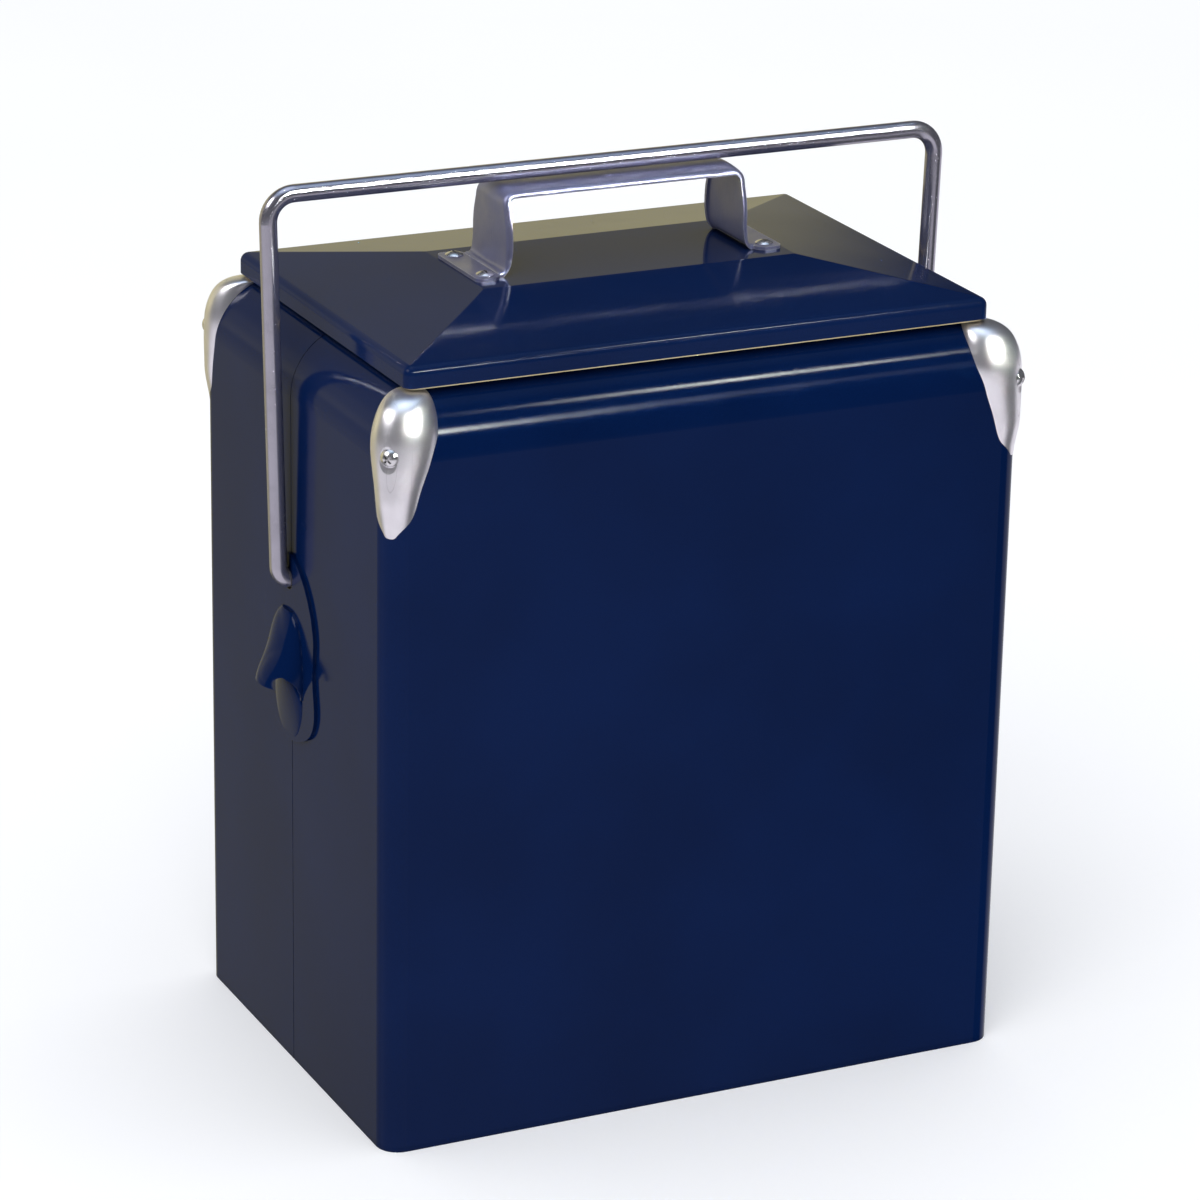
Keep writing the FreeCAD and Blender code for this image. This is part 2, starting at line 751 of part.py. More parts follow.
hood_outer = oval_stack("hood_outer", "hood", len(HOOD_RINGS), ZERO)
hood_inner = oval_stack("hood_inner", "hood", len(HOOD_RINGS) - 2, S["hood_sheet"])
mouth_low = S["hood_level_ring1"] + 1.4
lip_level = mouth_low + S["lip_rise"]
hood_mouth_sketch = sketch_on("hood_mouth_sketch", "XZ", [[
    (-plate_face - 20, mouth_low - 8),
    (-plate_face - 0.6, mouth_low - 8),
    (-plate_face - 0.6, mouth_low),
    (-plate_face - S["claw_reach"] + 3.2, mouth_low + S["notch_rise"], as_size(14)),
    (-plate_face - S["claw_reach"], lip_level, as_size(4.6)),
    (-plate_face - 20, lip_level),
]])
hood_mouth = extrude("hood_mouth", hood_mouth_sketch, as_size(80), True)
beyond_plate = block("beyond_plate", -plate_face - 40, -plate_face + 0.5, as_size(-60),
                     as_size(60), as_size(100), as_size(300))
hood_shell = cut("hood_shell", hood_outer, hood_inner, hood_mouth)
hood = common("hood", hood_shell, beyond_plate)
tongue_form = oval_stack("tongue_form", "tongue", len(TONGUE_RINGS), ZERO)
tongue = common("tongue", tongue_form, beyond_plate)
opener_solid = fuse("opener_solid", plate_sheet, hood, tongue)
opener_plate_left = cut("opener_plate_left", opener_solid, bushing_hole)
opener_plate_right = mirror("opener_plate_right", opener_plate_left, (1, 0, 0))


# ---------------------------------------------------------------- bail

def build_bail():
    """Round rod bent to a hoop, its two ends turned in on the pivot axis."""
    lean = math.radians(S["bail_splay"].value)
    end = S["rod_end"].value
    level = S["pivot_level"].value
    low = S["bail_low_bend"].value
    high = S["bail_top_bend"].value
    top = S["bail_top"].value
    leg = S["bail_leg_x"].value
    foot = FreeCAD.Vector(leg, level + low, 0)
    turn_low = FreeCAD.Vector(leg - low, level, 0)
    climb = (top - high - foot.y)
    shoulder = FreeCAD.Vector(leg + climb * math.tan(lean), top - high, 0)
    turn_high = FreeCAD.Vector(shoulder.x - high, top, 0)
    right = [FreeCAD.Vector(end, level, 0), turn_low, foot, shoulder, turn_high]
    left = [FreeCAD.Vector(-p.x, p.y, 0) for p in reversed(right)]
    sketch = DOC.addObject("Sketcher::SketchObject", "bail_path")
    sketch.Placement = FreeCAD.Placement(FreeCAD.Vector(), PLANES["XZ"])
    points = right + left
    bends = {1: low, 3: high, 5: high, 7: low}
    for index in range(len(points) - 1):
        start, finish = points[index], points[index + 1]
        if index in bends:
            sketch.addGeometry(arc_between(start, finish, bends[index]), False)
        else:
            sketch.addGeometry(Part.LineSegment(start, finish), False)
    tie = Sketcher.Constraint
    for index in range(len(points) - 2):
        sketch.addConstraint(tie("Tangent", index, 2, index + 1, 1))
    for index in (0, 4, 8):
        sketch.addConstraint(tie("Horizontal", index))
    sizes = [
        (tie("Radius", 1, low), S["bail_low_bend"]),
        (tie("Radius", 7, low), S["bail_low_bend"]),
        (tie("Radius", 3, high), S["bail_top_bend"]),
        (tie("Radius", 5, high), S["bail_top_bend"]),
        (tie("DistanceX", 0, 1, end), S["rod_end"]),
        (tie("DistanceX", 8, 2, -end), -S["rod_end"]),
        (tie("DistanceY", 0, 1, level), S["pivot_level"]),
        (tie("DistanceY", 8, 2, level), S["pivot_level"]),
        (tie("DistanceY", 4, 1, top), S["bail_top"]),
        (tie("DistanceX", 2, 1, leg), S["bail_leg_x"]),
        (tie("DistanceX", 6, 2, -leg), -S["bail_leg_x"]),
        (tie("Angle", 2, math.radians(90) - lean), 90 - S["bail_splay"]),
        (tie("Angle", 6, lean - math.radians(90)), S["bail_splay"] - 90),
    ]
    for constraint, size in sizes:
        row = sketch.addConstraint(constraint)
        sketch.setExpression(f"Constraints[{row}]", size.text)
    ring = DOC.addObject("Part::Circle", "bail_section")
    ring.Placement = FreeCAD.Placement(FreeCAD.Vector(), FreeCAD.Rotation(0, 90, 0))
    bind(ring, Radius=S["rod"])
    place(ring, S["rod_end"], ZERO, S["pivot_level"])
    DOC.recompute()
    sweep = DOC.addObject("Part::Sweep", "bail_handle")
    sweep.Sections = [ring]
    sweep.Spine = (sketch, [f"Edge{n}" for n in range(1, len(points))])
    sweep.Solid = True
    sweep.Frenet = True
    return sweep


bail_handle = build_bail()

sleeve_length = half_x + S["plate_thick"] - strip_outer + S["strip_thick"] + 2
sleeve_start = (-plate_face, ZERO, S["pivot_level"])
sleeve = cylinder("sleeve", S["bushing_radius"], sleeve_length, sleeve_start, (1, 0, 0))
flange_start = (S["strip_thick"] - strip_outer, ZERO, S["pivot_level"])
flange = cylinder("flange", S["bushing_flange"], S["bushing_flange_thick"], flange_start,
                  (1, 0, 0))
bore = cylinder("bore", S["rod"] + S["running"], as_size(40),
                (-plate_face - 20, ZERO, S["pivot_level"]), (1, 0, 0))
lead_in = DOC.addObject("Part::Cone", "lead_in")
lead_in.Placement = FreeCAD.Placement(FreeCAD.Vector(), FreeCAD.Rotation(0, 90, 0))
bind(lead_in, Radius1=S["bushing_mouth"], Radius2=S["rod"] + S["running"], Height=S["bushing_lead"])
place(lead_in, *sleeve_start)
bushing_solid = fuse("bushing_solid", sleeve, flange)
pivot_bushing_left = cut("pivot_bushing_left", bushing_solid, bore, lead_in)
pivot_bushing_right = mirror("pivot_bushing_right", pivot_bushing_left, (1, 0, 0))

retainer_at = S["rod_end"] + 0.4 + S["retainer_thick"]
retainer_disc = cylinder("retainer_disc", S["retainer_radius"], S["retainer_thick"],
                         (-retainer_at, ZERO, S["pivot_level"]), (1, 0, 0))
retainer_bore = cylinder("retainer_bore", S["rod"] + 0.02, as_size(20),
                         (-retainer_at - 10, ZERO, S["pivot_level"]), (1, 0, 0))
retainer = cut("retainer", retainer_disc, retainer_bore)
bail_retainers = together("bail_retainers", retainer, mirror("retainer_right", retainer, (1, 0, 0)))

# ---------------------------------------------------------------- lid

lid_half_x = S["lid_width"] / 2
lid_half_y = S["lid_depth"] / 2


def lid_form(name, step_in, below):
    """Rounded hip-roof solid whose faces lie step_in inside the lid's outside."""
    core_x = lid_half_x - S["lid_round"]
    core_y = lid_half_y - S["lid_round"]
    eave = S["lid_skirt_top"] - S["lid_round"]
    crest = S["lid_top"] - S["lid_round"]
    base = block(name + "_base", -core_x, core_x, -core_y, core_y, below, eave)
    roof = DOC.addObject("Part::Wedge", name + "_roof")
    roof.Placement = FreeCAD.Placement(FreeCAD.Vector(), FreeCAD.Rotation(
        FreeCAD.Vector(1, 0, 0), 90))
    flat_x = S["plateau_half_x"] - 0.4
    flat_y = S["plateau_half_y"] - 0.4
    bind(roof, Xmin=-core_x, Xmax=core_x, Ymin=eave, Ymax=crest, Zmin=-core_y, Zmax=core_y,
         X2min=-flat_x, X2max=flat_x, Z2min=-flat_y, Z2max=flat_y)
    core = fuse(name + "_core", base, roof)
    made = DOC.addObject("Part::Offset", name)
    made.Source = core
    made.Join = 0
    bind(made, Value=S["lid_round"] - step_in)
    return made


lid_below = S["lid_bottom"] - 20
lid_outside = lid_form("lid_outside", ZERO, lid_below)
lid_inside = lid_form("lid_inside", S["skin"], lid_below - 10)
above_skirt = block("above_skirt", -FAR, FAR, -FAR, FAR, S["lid_bottom"], FAR + 100)
lid_screw_bar = cylinder("lid_screw_bar", S["shank_radius"] + S["running"], as_size(30),
                         (-S["screw_x"], -S["screw_y"], S["lid_top"] - 15), (0, 0, 1))
lid_screw_holes = four_ways("lid_screw_holes", lid_screw_bar)
lid_skin = cut("lid_skin", lid_outside, lid_inside, lid_screw_holes)
lid_shell = common("lid_shell", lid_skin, above_skirt)

tray_top = S["body_height"] + S["liner_flange_thick"] + S["gasket_thick"] + S["tray_thick"]
tray_low = tray_top - S["tray_thick"]
lip_bottom = S["lid_bottom"] - S["lip_drop"]


def build_lid_liner():
    """Tray under the lid: a lip all round and a plug that enters the tub."""
    body = new_body("lid_liner")
    gap = S["skin"] + 0.3
    edge_x = lid_half_x - gap
    edge_y = lid_half_y - gap
    corner = S["lid_round"]
    lip = S["lip_thick"]
    sheet = S["tray_thick"]
    pad(body, [rounded(edge_x, edge_y, corner)], lip_bottom, tray_top)
    pocket(body, [rounded(edge_x - lip, edge_y - lip, corner - lip)], lip_bottom - 1, tray_low)
    plug = rounded(S["plug_half_x"], S["plug_half_y"], S["plug_corner"])
    pad(body, [plug], S["plug_bottom"], tray_top)
    soften(body, as_size(3), flat_at(S["plug_bottom"]))
    inside = rounded(S["plug_half_x"] - sheet, S["plug_half_y"] - sheet,
                     S["plug_corner"] - sheet)
    pocket(body, [inside], S["plug_bottom"] + 2, tray_top + 1)
    return body


lid_liner = build_lid_liner()


def build_gasket():
    """Sealing ring between the liner flange and the lid tray."""
    body = new_body("lid_gasket")
    edge = S["liner_flange"] - 2
    wide = S["gasket_width"]
    outer = rounded(liner_half_x + edge, liner_half_y + edge, liner_corner + edge)
    edge = edge - wide
    inner = rounded(liner_half_x + edge, liner_half_y + edge, liner_corner + edge)
    pad(body, [outer, inner], S["body_height"] + S["liner_flange_thick"], tray_low)
    return body


lid_gasket = build_gasket()

lid_fill_form = lid_form("lid_fill_form", S["skin"] + 0.3, lid_below)
above_tray = block("above_tray", -FAR, FAR, -FAR, FAR, tray_top + 0.1, FAR + 100)
lid_fill = common("lid_fill", lid_fill_form, above_tray)
plug_gap = S["tray_thick"] + 0.2
plug_fill = slab("plug_fill", S["plug_half_x"] - plug_gap, S["plug_half_y"] - plug_gap,
                 S["plug_corner"] - plug_gap, S["plug_bottom"] + 2.2, tray_top + 2)
lid_foam_whole = fuse("lid_foam_whole", lid_fill, plug_fill)
backing_top = S["lid_top"] - S["skin"] - 0.02
backing_x0 = S["screw_x"] - S["backing_half_x"]
backing_x1 = S["screw_x"] + S["backing_half_x"]
backing_room = block("backing_room", -backing_x1 - 0.5, -backing_x0 + 0.5,
                     -S["backing_half_y"] - 0.5, S["backing_half_y"] + 0.5,
                     S["lid_top"] - S["lid_screw_length"] - 2, S["lid_top"])
backing_rooms = together("backing_rooms", backing_room,
                         mirror("backing_room_right", backing_room, (1, 0, 0)))
lid_insulation = cut("lid_insulation", lid_foam_whole, backing_rooms)

backing_blank = block("backing_blank", -backing_x1, -backing_x0, -S["backing_half_y"],
                      S["backing_half_y"], backing_top - S["backing_thick"], backing_top)
backing_drilled = cut("backing_drilled", backing_blank, lid_screw_holes)
lid_backing_plates = together("lid_backing_plates", backing_drilled,
                              mirror("backing_right", backing_drilled, (1, 0, 0)))

# ---------------------------------------------------------------- strap handle

def strap_section(half, turned):
    """Corners of the crowned channel: across the strap, and out from its face."""
    sheet = S["strap_thick"].value - 0.5 * (1 - turned)
    crown = S["strap_crown"].value * turned
    roll = 0.8 + (S["strap_roll"].value - 0.8) * turned
    tight = 0.3 + 0.7 * turned
    depth = 1.55 + (S["strap_return"].value - 1.55) * turned
    bow = max(crown, 0.02)
    outer = [
        ("line", (half, -depth), (half, -bow - roll)),
        ("arc", (half, -bow - roll), (half - roll * 0.293, -bow - roll * 0.293),
         (half - roll, -bow)),
        ("arc", (half - roll, -bow), (0, 0), (roll - half, -bow)),
        ("arc", (roll - half, -bow), (roll * 0.293 - half, -bow - roll * 0.293),
         (-half, -bow - roll)),
        ("line", (-half, -bow - roll), (-half, -depth)),
        ("line", (-half, -depth), (sheet - half, -depth)),
    ]
    side = half - sheet
    top = -bow - sheet
    inner = [
        ("line", (-side, -depth), (-side, top - tight)),
        ("arc", (-side, top - tight), (tight * 0.293 - side, top - tight * 0.293),
         (tight - side, top)),
        ("arc", (tight - side, top), (0, -sheet), (side - tight, top)),
        ("arc", (side - tight, top), (side - tight * 0.293, top - tight * 0.293),
         (side, top - tight)),
        ("line", (side, top - tight), (side, -depth)),
        ("line", (side, -depth), (half, -depth)),
    ]
    return outer + inner


def strap_wire(name, at, outward, half, turned):
    """One channel section standing at a point of the run, facing outward."""
    edges = []
    for kind, *spots in strap_section(half, turned):
        points = [FreeCAD.Vector(at.x + outward.x * out, across, at.z + outward.z * out)
                  for across, out in spots]
        if kind == "line":
            edges.append(Part.LineSegment(points[0], points[1]).toShape())
        else:
            edges.append(Part.Arc(*points).toShape())
    made = DOC.addObject("Part::Feature", name)
    made.Shape = Part.Wire(edges)
    return made


def strap_place(along):
    """Point on the outer face of the left half of the run, and the way it faces."""
    riser = S["strap_foot_x"].value
    bend = S["strap_bend"].value
    top = S["strap_top"].value
    foot = S["strap_foot_bend"].value
    low = S["strap_foot_level"].value
    foot_run = foot * math.pi / 2
    riser_run = top - bend - low
    bend_run = bend * math.pi / 2
    if along < foot_run:
        turn = along / foot
        at = FreeCAD.Vector(foot * math.sin(turn) - riser - foot, 0, low - foot * math.cos(turn))
        return at, FreeCAD.Vector(-math.sin(turn), 0, math.cos(turn))
    along -= foot_run
    if along < riser_run:
        return FreeCAD.Vector(-riser, 0, low + along), FreeCAD.Vector(-1, 0, 0)
    along -= riser_run
    if along < bend_run:
        turn = along / bend
        outward = FreeCAD.Vector(-math.cos(turn), 0, math.sin(turn))
        return FreeCAD.Vector(bend - riser, 0, top - bend) + outward * bend, outward
    along -= bend_run
    return FreeCAD.Vector(bend - riser + along, 0, top), FreeCAD.Vector(0, 0, 1)


def strap_shape_at(along):
    """Half width and turn of the edges at a distance along the run."""
    for number in range(1, len(STRAP_RUN)):
        start = S[f"strap_along_ring{number}"].value
        finish = S[f"strap_along_ring{number + 1}"].value
        if along <= finish:
            share = (along - start) / (finish - start)
            pairs = [(S[f"strap_{field}_ring{number}"].value,
                      S[f"strap_{field}_ring{number + 1}"].value) for field in ("half", "turned")]
            return [first + (last - first) * share for first, last in pairs]
    raise ValueError("beyond the strap")


def build_strap():
    """Left half of the channel as a smooth run, and its mirror image."""
    flat_run = S["strap_foot_x"].value - S["strap_bend"].value
    total = (S["strap_foot_bend"].value + S["strap_bend"].value) * math.pi / 2 + flat_run
    total += S["strap_top"].value - S["strap_bend"].value - S["strap_foot_level"].value
    wires = []
    for step in range(STRAP_STEPS + 1):
        along = total * step / STRAP_STEPS
        at, outward = strap_place(along)
        half, turned = strap_shape_at(along)
        wires.append(strap_wire(f"strap_section_{step}", at, outward, half, turned))
    loft = DOC.addObject("Part::Loft", "strap_left")
    loft.Sections = wires
    loft.Solid = True
    loft.Ruled = False
    return fuse("strap_channel", loft, mirror("strap_right", loft, (1, 0, 0)))


foot_top = S["lid_top"] + S["foot_thick"]


def foot_blank(name):
    """Left foot plate, narrowed where it meets the riser."""
    inner = -S["strap_foot_x"] - S["strap_foot_bend"] + 0.8
    edge = -S["foot_reach"]
    deep = S["foot_half_y"]
    slim = S["strap_half_ring1"] - 0.5
    turn = S["foot_corner"]
    corners = [
        (inner, -slim),
        (inner, slim),
        (inner - 4, deep, as_size(9)),
        (edge + turn, deep),
        (edge, deep - turn, turn),
        (edge, turn - deep),
        (edge + turn, -deep, turn),
        (inner - 4, -deep),
    ]
    corners[0] = (inner, -slim, as_size(9))
    sketch = sketch_on(name + "_plan", "XY", [corners], S["lid_top"])
    return extrude(name, sketch, S["foot_thick"])


strap_channel = build_strap()
foot_left = foot_blank("foot_left")
foot_right = mirror("foot_right", foot_left, (1, 0, 0))
strap_whole = fuse("strap_whole", strap_channel, foot_left, foot_right)
under_foot = block("under_foot", -FAR, FAR, -FAR, FAR, S["lid_top"] - 20, S["lid_top"])
lid_handle = cut("lid_handle", strap_whole, lid_screw_holes, under_foot)

lid_screw = build_screw("lid_screw", S["lid_screw_length"], S["low_head_height"])
lid_screw_set = moved("lid_screw_set", lid_screw, FreeCAD.Rotation(),
                      -S["screw_x"], -S["screw_y"], foot_top)
lid_handle_screws = four_ways("lid_handle_screws", lid_screw_set)

# ---------------------------------------------------------------- write the pieces

PIECES = {
    "shell_front": shell_front,
    "shell_back": shell_back,
    "seam_strip_left": seam_strip_left,
    "seam_strip_right": seam_strip_right,
    "bottom_pan": bottom_pan,
    "body_insulation": body_insulation,
    "inner_liner": inner_liner,
    "corner_cap_front_left": corner_cap_front_left,
    "corner_cap_front_right": corner_cap_front_right,
    "corner_cap_back_left": corner_cap_back_left,
    "corner_cap_back_right": corner_cap_back_right,
    "corner_cap_screws": corner_cap_screws,
    "opener_plate_left": opener_plate_left,
    "opener_plate_right": opener_plate_right,
    "pivot_bushing_left": pivot_bushing_left,
    "pivot_bushing_right": pivot_bushing_right,
    "bail_handle": bail_handle,
    "bail_retainers": bail_retainers,
    "lid_shell": lid_shell,
    "lid_insulation": lid_insulation,
    "lid_liner": lid_liner,
    "lid_gasket": lid_gasket,
    "lid_backing_plates": lid_backing_plates,
    "lid_handle": lid_handle,
    "lid_handle_screws": lid_handle_screws,
}


def check_document():
    """Stop when any object failed to rebuild."""
    for thing in DOC.Objects:
        if "Invalid" in thing.State or "Error" in thing.State:
            raise RuntimeError(f"{thing.Name} did not rebuild: {thing.State}")


def write_pieces():
    """One STEP file for each piece."""
    os.makedirs("parts", exist_ok=True)
    for label, piece in PIECES.items():
        piece.Label = label
        shape = piece.Shape
        if shape.isNull() or not shape.isValid():
            raise RuntimeError(f"{label} has no valid shape")
        shape.exportStep(f"parts/{label}.step")


DOC.recompute()
check_document()
write_pieces()
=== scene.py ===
"""Looks, light and camera for the soda cooler chest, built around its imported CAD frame.

Every CAD node keeps its own shape and gets a node-based material. All lengths are metres, in the CAD frame:
+X to the right along the long side, -Y to the front, +Z up, origin on the floor under the body.
"""
import json
import math

import bpy
from mathutils import Matrix, Vector


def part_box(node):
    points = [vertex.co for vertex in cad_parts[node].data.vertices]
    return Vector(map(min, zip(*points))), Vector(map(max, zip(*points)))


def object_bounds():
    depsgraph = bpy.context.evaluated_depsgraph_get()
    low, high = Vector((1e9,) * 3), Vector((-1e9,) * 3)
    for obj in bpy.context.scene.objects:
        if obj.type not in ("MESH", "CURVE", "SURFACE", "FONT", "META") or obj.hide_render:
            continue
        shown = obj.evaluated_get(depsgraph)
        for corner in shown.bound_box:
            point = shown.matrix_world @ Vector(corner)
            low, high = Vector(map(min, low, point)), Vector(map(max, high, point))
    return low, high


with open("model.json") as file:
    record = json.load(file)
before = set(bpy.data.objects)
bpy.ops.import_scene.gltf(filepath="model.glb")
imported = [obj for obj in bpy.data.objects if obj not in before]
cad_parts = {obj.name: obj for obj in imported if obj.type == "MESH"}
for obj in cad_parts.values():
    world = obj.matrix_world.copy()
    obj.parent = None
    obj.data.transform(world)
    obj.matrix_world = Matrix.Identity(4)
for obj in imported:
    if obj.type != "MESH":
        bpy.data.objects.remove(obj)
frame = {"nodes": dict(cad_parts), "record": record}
NODES = frame["nodes"]
CAD_LOW, CAD_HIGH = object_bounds()

# ---------------------------------------------------------------- camera
CAMERA_AZIMUTH = math.radians(-25.66)   # seen from the front, turned to the left
CAMERA_ELEVATION = math.radians(19.93)
CAMERA_ROLL = math.radians(1.06)
CAMERA_DISTANCE = 2.2003
CAMERA_SHIFT = (-0.0017, -0.0040)       # right and up of the line through the object's middle
LENS = 142.76                           # mm
SENSOR_WIDTH = 36.0                     # mm

# ---------------------------------------------------------------- stage
FLOOR_RADIUS = 40.0
FLOOR_SIDES = 96
FLOOR_COLOUR = (0.92, 0.92, 0.92)
FLOOR_GLOW = 0.16                       # light of its own, so that the far floor meets the background
BACKGROUND = (1.0, 1.0, 1.0)
FILL_COLOUR = (0.93, 0.95, 1.0)
FILL_STRENGTH = 0.92
KEY_PLACE = Vector((-1.1, -1.3, 2.1))
KEY_SIZE = 1.6
KEY_POWER = 17.0

# Walls, floor and soft boxes that only reflections see. Azimuth 0 is behind the object and grows to
# the right, elevation 0 is the horizon. Each row, in degrees: azimuth span, elevation span, softness
# of both, then colour and strength.
BACK, LEFT, RIGHT = 0.0, -90.0, 90.0
WARM = (1.0, 0.90, 0.46)
PAPER = (0.98, 0.96, 1.0)
TUBE = (0.96, 1.0, 0.90)
LAMP = (1.0, 1.0, 0.98)
STUDIO = (
    # floor behind the object, lit foot of the back wall, back wall
    ((BACK - 58, BACK + 31.8), (-30, 8), (3, 18), WARM, 0.45),
    ((BACK - 58, BACK + 31.8), (-2, 8), (3, 5), WARM, 0.30),
    ((BACK - 58, BACK + 29.5), (8, 31), (4, 5), WARM, 0.46),
    # pale floor to the left and to the right
    ((LEFT - 120, LEFT + 30), (-85, -14), (24, 10), PAPER, 0.78),
    ((RIGHT - 48, RIGHT + 12), (-85, -7), (12, 8), PAPER, 0.80),
    # soft box high on the left, tube high above the front right
    ((LEFT - 22, LEFT + 20), (30, 52), (10, 8), LAMP, 7.0),
    ((RIGHT + 49.7, RIGHT + 52.4), (43.7, 47.3), (2.6, 1.6), TUBE, 175.0),
    # low tube in front, and its bright middle
    ((RIGHT + 58, RIGHT + 92), (25.5, 29.5), (8, 1.6), TUBE, 4.0),
    ((RIGHT + 65, RIGHT + 82), (25.0, 30.0), (3, 1.6), TUBE, 230.0),
)
# Light from above: the elevations where it begins and is full, colour, strength.
OVERHEAD = ((54, 64), (0.50, 0.74, 1.0), 0.75)
ZENITH = ((66, 76), (0.95, 0.97, 1.0), 0.7)
ROOM_TONE = (0.8, 0.9, 1.0)
ROOM_GLOW = 0.028                       # what the dark part of the studio still reflects

PAINT_IOR = 1.18                        # enamel that mirrors little head on and a lot at a glance
BAR_DEPTH = 0.012                       # the bail's top bar and its bends, down from the top
NAVY = (0.0012, 0.0090, 0.0490)
LID_NAVY = (0.0034, 0.0120, 0.0540)


class Shader:
    """A node tree in short form: every method adds a node and gives back its output socket."""

    def __init__(self, tree):
        self.tree = tree
        tree.nodes.clear()

    def put(self, value, socket):
        """Links value to the socket, or sets it; one number on a colour socket makes a grey."""
        if isinstance(value, bpy.types.NodeSocket):
            self.tree.links.new(value, socket)
        elif value is not None and socket.type == "RGBA":
            colour = (value,) * 3 if isinstance(value, float) else tuple(value)
            socket.default_value = (*colour, 1.0)
        elif value is not None:
            socket.default_value = value

    def node(self, kind, output=0, settings=None, **inputs):
        """Adds a node and gives back one output, or the node itself when output is None."""
        made = self.tree.nodes.new("ShaderNode" + kind)
        for key, value in (settings or {}).items():
            setattr(made, key, value)
        for key, value in inputs.items():
            self.put(value, made.inputs[key.replace("_", " ")])
        return made if output is None else made.outputs[output]

    def math(self, operation, first, second=0.0, clamp=False):
        made = self.tree.nodes.new("ShaderNodeMath")
        made.operation, made.use_clamp = operation, clamp
        self.put(first, made.inputs[0])
        self.put(second, made.inputs[1])
        return made.outputs[0]

    def add(self, first, second):
        return self.math("ADD", first, second)

    def times(self, first, second):
        return self.math("MULTIPLY", first, second)

    def span(self, value, low, high, out_low=0.0, out_high=1.0):
        """value eased from out_low at low to out_high at high."""
        made = self.tree.nodes.new("ShaderNodeMapRange")
        made.interpolation_type = "SMOOTHSTEP"
        for socket, setting in zip(made.inputs, (value, low, high, out_low, out_high)):
            self.put(setting, socket)
        return made.outputs[0]

    def mix(self, factor, first, second, how="MIX"):
        made = self.tree.nodes.new("ShaderNodeMix")
        made.data_type, made.blend_type = "RGBA", how
        colours = [socket for socket in made.inputs if socket.type == "RGBA"]
        self.put(factor, made.inputs[0])
        self.put(first, colours[0])
        self.put(second, colours[1])
        return [socket for socket in made.outputs if socket.type == "RGBA"][0]

    def coords(self, stretch=(1.0, 1.0, 1.0), turn=(0.0, 0.0, 0.0)):
        place = self.node("TexCoord", "Object")
        return self.node("Mapping", Vector=place, Scale=stretch, Rotation=turn)

    def noise(self, at, scale, detail=2.0, roughness=0.5):
        return self.node("TexNoise", "Fac", Vector=at, Scale=scale, Detail=detail, Roughness=roughness)

    def cells(self, at, scale):
        """Distance to the nearest of scattered points, scale points to a metre."""
        return self.node("TexVoronoi", "Distance", Vector=at, Scale=scale)

    def bump(self, height, depth, under=None):
        """The surface normal with height, from 0 to 1, raised by depth metres."""
        return self.node("Bump", Height=height, Distance=depth, Strength=1.0, Normal=under)

    def scratches(self, at, scale, width, cover):
        """Fine lines where a slow noise crosses its middle, kept only in patches; cover is the share kept."""
        wander = self.noise(at, scale, 1.0, 0.4)
        off_line = self.math("ABSOLUTE", self.math("SUBTRACT", wander, 0.5))
        line = self.span(off_line, 0.0, width, 1.0, 0.0)
        patch = self.span(self.noise(at, scale * 0.37, 2.0), 1.0 - cover, 1.06 - cover)
        return self.times(line, patch)

    def edges(self, radius, low=0.02, high=0.25):
        """1 along sharp edges and 0 on flats, from how far a rounded normal leans away."""
        rounded = self.node("Bevel", settings={"samples": 4}, Radius=radius)
        flat = self.node("NewGeometry", "Normal")
        made = self.tree.nodes.new("ShaderNodeVectorMath")
        made.operation = "DOT_PRODUCT"
        self.put(rounded, made.inputs[0])
        self.put(flat, made.inputs[1])
        return self.span(self.math("SUBTRACT", 1.0, made.outputs["Value"]), low, high)

    def surface(self, **inputs):
        finish = self.node("BsdfPrincipled", **inputs)
        self.node("OutputMaterial", None, Surface=finish)


def scaled(colour, factor):
    """The colour made darker or lighter by factor."""
    return tuple(factor * channel for channel in colour)


def new_material(name):
    made = bpy.data.materials.new(name)
    made.use_nodes = True
    return made, Shader(made.node_tree)


# ---------------------------------------------------------------- materials
def paint(name, colour, gloss=0.10):
    """Baked enamel on sheet metal: flecks, slow drift of tone, orange peel, smudges, rubbed edges.

    Grooves and the lines beside a standing edge get painted shade: darker and duller.
    """
    made, s = new_material(name)
    at = s.coords()
    drift = s.span(s.noise(at, 9.0, 3.0), 0.3, 0.7, 0.90, 1.12)
    fleck = s.span(s.noise(at, 1900.0, 1.0), 0.3, 0.7, 0.93, 1.07)
    tone = s.mix(1.0, colour, s.times(drift, fleck), "MULTIPLY")
    broken = s.span(s.noise(at, 260.0, 3.0), 0.42, 0.62)
    rubbed = s.times(s.edges(0.0011), s.times(broken, 0.35))
    tone = s.mix(rubbed, tone, tuple(0.55 * channel + 0.06 for channel in colour))
    smudge = s.span(s.noise(at, 26.0, 5.0, 0.62), 0.40, 0.75, 0.0, 0.05)
    speck = s.span(s.cells(at, 330.0), 0.05, 0.11, 0.22, 0.0)
    hairline = s.scratches(s.coords((1.0, 1.0, 0.14)), 46.0, 0.006, 0.40)
    rough = s.add(s.add(s.add(smudge, gloss), s.times(speck, 0.5)), s.times(hairline, 0.10))
    panel = s.bump(s.noise(at, 13.0, 1.0), 0.00016)
    peel = s.bump(s.noise(at, 380.0, 2.0, 0.45), 0.000006, panel)
    normal = s.bump(hairline, -0.0000015, peel)
    # Painted shade: where ambient occlusion finds surfaces close by, as in grooves, the gap under the lid and
    # along the plate's edge, the tone is darkened and the specular level lowered.
    open_sky = s.node("AmbientOcclusion", "AO", settings={"samples": 6}, Distance=0.008)
    unshaded = s.span(open_sky, 0.20, 0.62)
    tone = s.mix(s.math("SUBTRACT", 1.0, unshaded), tone, scaled(colour, 0.12))
    s.surface(Base_Color=tone, Roughness=rough, IOR=PAINT_IOR, Normal=normal,
              Specular_IOR_Level=s.span(unshaded, 0.0, 1.0, 0.1, 0.5))
    return made


